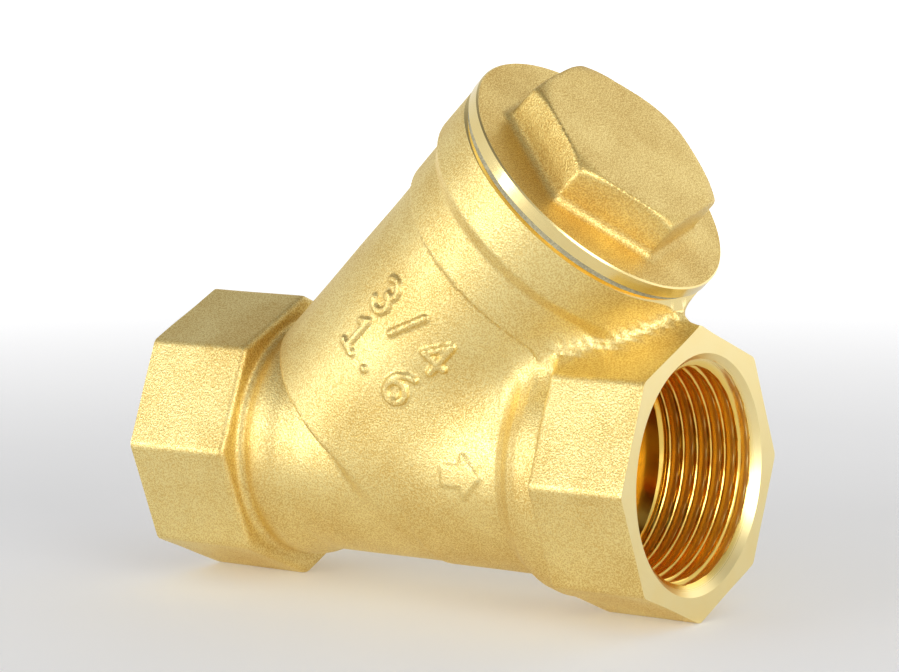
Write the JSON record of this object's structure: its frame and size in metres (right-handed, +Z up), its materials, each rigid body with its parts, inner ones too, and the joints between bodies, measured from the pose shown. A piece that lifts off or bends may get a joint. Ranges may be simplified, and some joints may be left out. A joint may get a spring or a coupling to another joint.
{
  "type": "y strainer",
  "caption": "Y-pattern pipe strainer: forged brass body with octagonal threaded ends, slanted branch and hexagon screw cap over a lift-out screen.",
  "frame": {"origin": "under the middle of the body's length, in the branch plane, at the level of the lowest octagon corners", "axes": "+X along the run towards the outlet, +Z up in the plane of the branch, +Y to the left seen along the flow"},
  "size_m": [0.0676, 0.034, 0.0615],
  "materials": {
    "forged_brass": "shot-blasted",
    "cap_brass": "shot-blasted with a turned rim",
    "gasket": "matte",
    "stainless": "satin"
  },
  "bodies": {
    "strainer_body": {"body": "forged_brass"},
    "gasket": {"cap_gasket": "gasket"},
    "cap": {"bonnet_cap": "cap_brass"},
    "screen": {"screen_tube": "stainless", "screen_foot_band": "stainless", "screen_head_band": "stainless"}
  },
  "joints": [
    {"name": "cap_lift", "type": "slide", "parent": "strainer_body", "child": "gasket", "axis": [0.7071, 0, 0.7071], "range_m": [0, 0.06]},
    {"name": "cap_turn", "type": "hinge", "parent": "gasket", "child": "cap", "pos_m": [-0.01215, 0, 0.01668], "axis": [0.7071, 0, 0.7071], "range_deg": [0, 14400]},
    {"name": "screen_lift", "type": "slide", "parent": "strainer_body", "child": "screen", "axis": [0.7071, 0, 0.7071], "range_m": [0, 0.045]}
  ],
  "couplings": [
    {"joint": "cap_turn", "follows": "cap_lift", "rad_per_m": 4188.8},
    {"joint": "screen_lift", "follows": "cap_lift", "ratio": 0.75}
  ]
}
